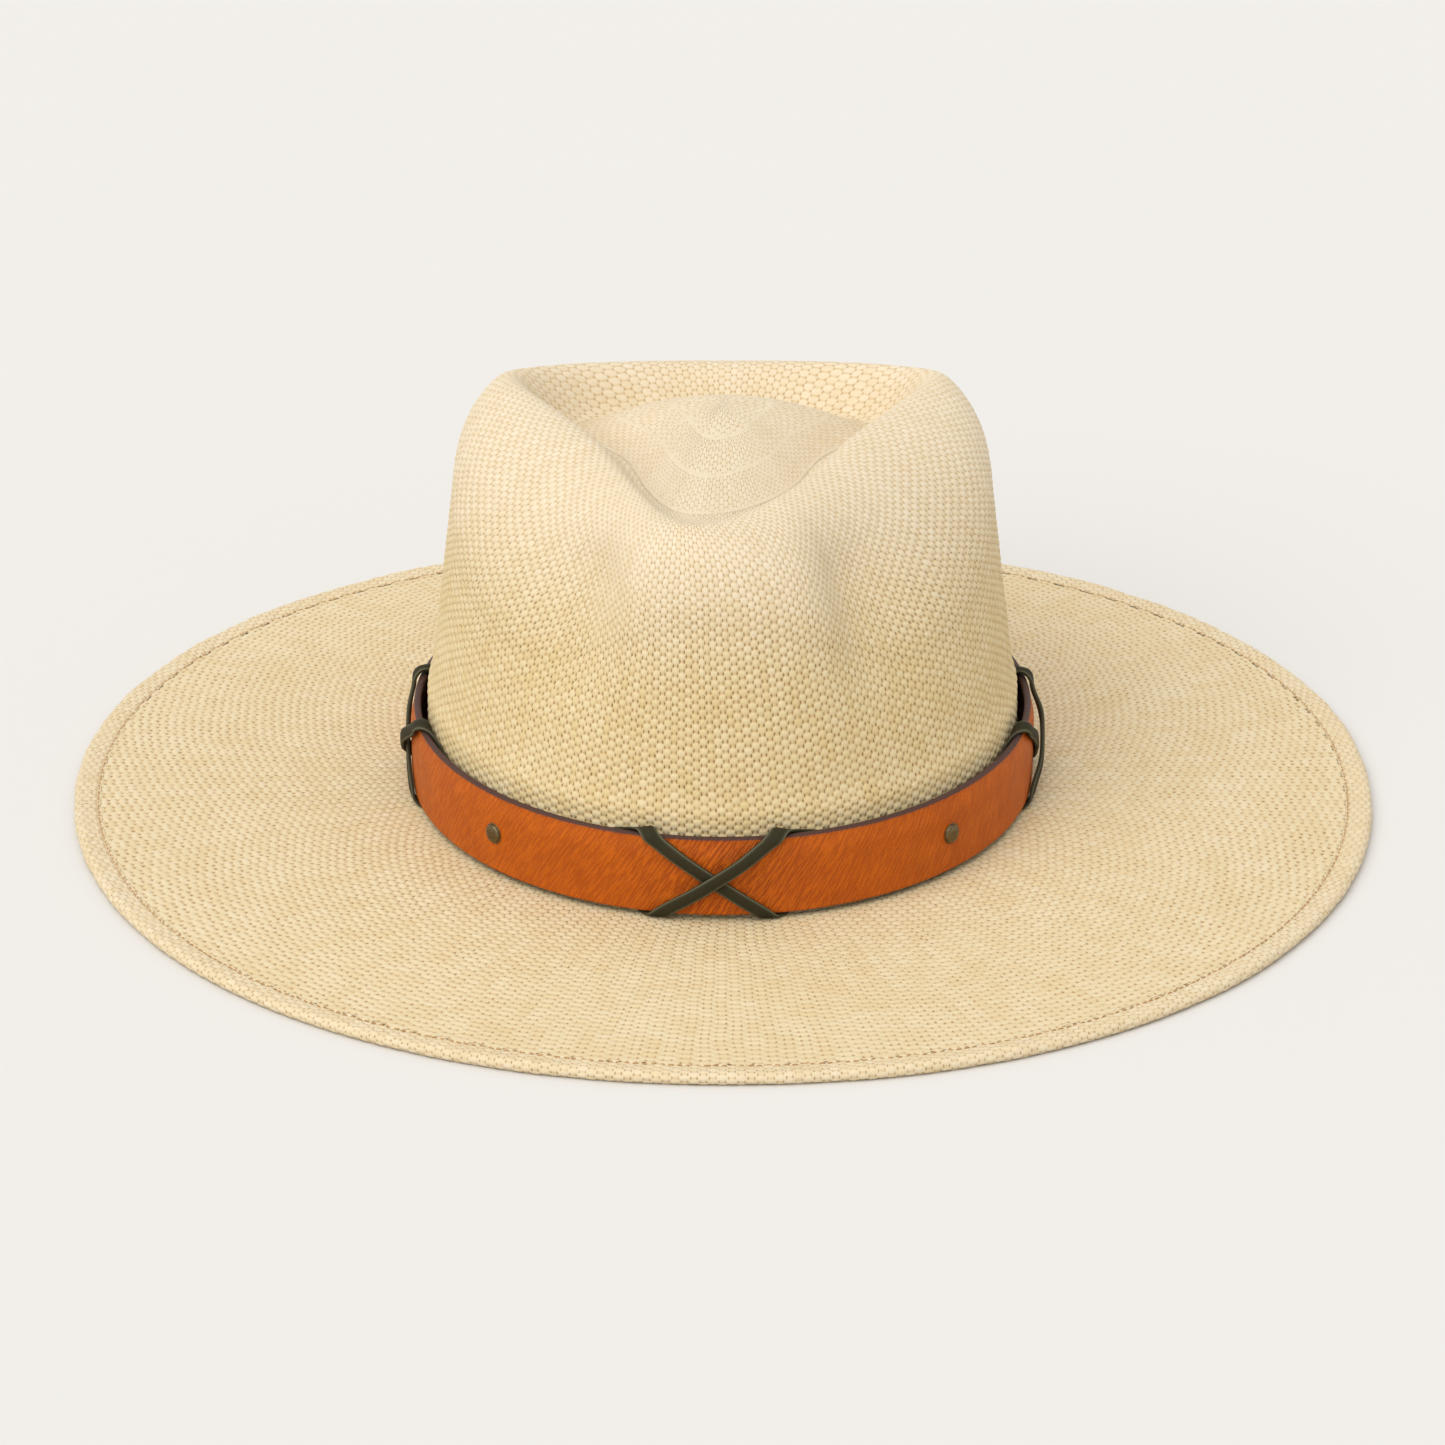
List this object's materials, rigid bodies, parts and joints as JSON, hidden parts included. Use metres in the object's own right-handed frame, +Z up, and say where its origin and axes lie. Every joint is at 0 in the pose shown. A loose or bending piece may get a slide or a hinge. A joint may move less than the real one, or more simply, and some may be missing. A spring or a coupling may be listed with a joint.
{
  "type": "panama hat",
  "caption": "Wide flat-brimmed woven straw hat with a teardrop crown, a leather sweatband inside and a laced leather hatband outside.",
  "frame": {"origin": "centre of the bounding box, on the plane that the brim's hem rests on", "axes": "+Z up through the crown, the front of the hat faces -Y, +X to the viewer's right seen from the front"},
  "size_m": [0.3928, 0.402, 0.1192],
  "materials": {
    "woven_straw": "woven natural straw, satin",
    "sewing_thread": "matte thread",
    "spring_wire": "drawn wire",
    "sweatband_leather": "smooth matte leather",
    "plastic_reed": "matte",
    "satin_ribbon": "satin weave",
    "label_cloth": "blank woven tape",
    "strap_leather": "grained tan leather, satin",
    "lace_leather": "waxed flat lace",
    "antique_brass": "darkened brass"
  },
  "bodies": {
    "hat": {"straw_body": "woven_straw", "hem_stitching": "sewing_thread", "brim_wire": "spring_wire", "sweatband": "sweatband_leather", "sweatband_reed": "plastic_reed", "sweatband_stitching": "sewing_thread", "sweatband_bow": "satin_ribbon", "size_label": "label_cloth"},
    "hatband": {"leather_strap": "strap_leather", "lace_under": "lace_leather", "lace_over": "lace_leather", "rivet_front_left": "antique_brass", "rivet_front_right": "antique_brass", "rivet_rear_left": "antique_brass", "rivet_rear_right": "antique_brass"}
  },
  "joints": [
    {"name": "hatband_lift", "type": "slide", "parent": "hat", "child": "hatband", "axis": [0, 0, 1], "range_m": [0, 0.13]}
  ]
}
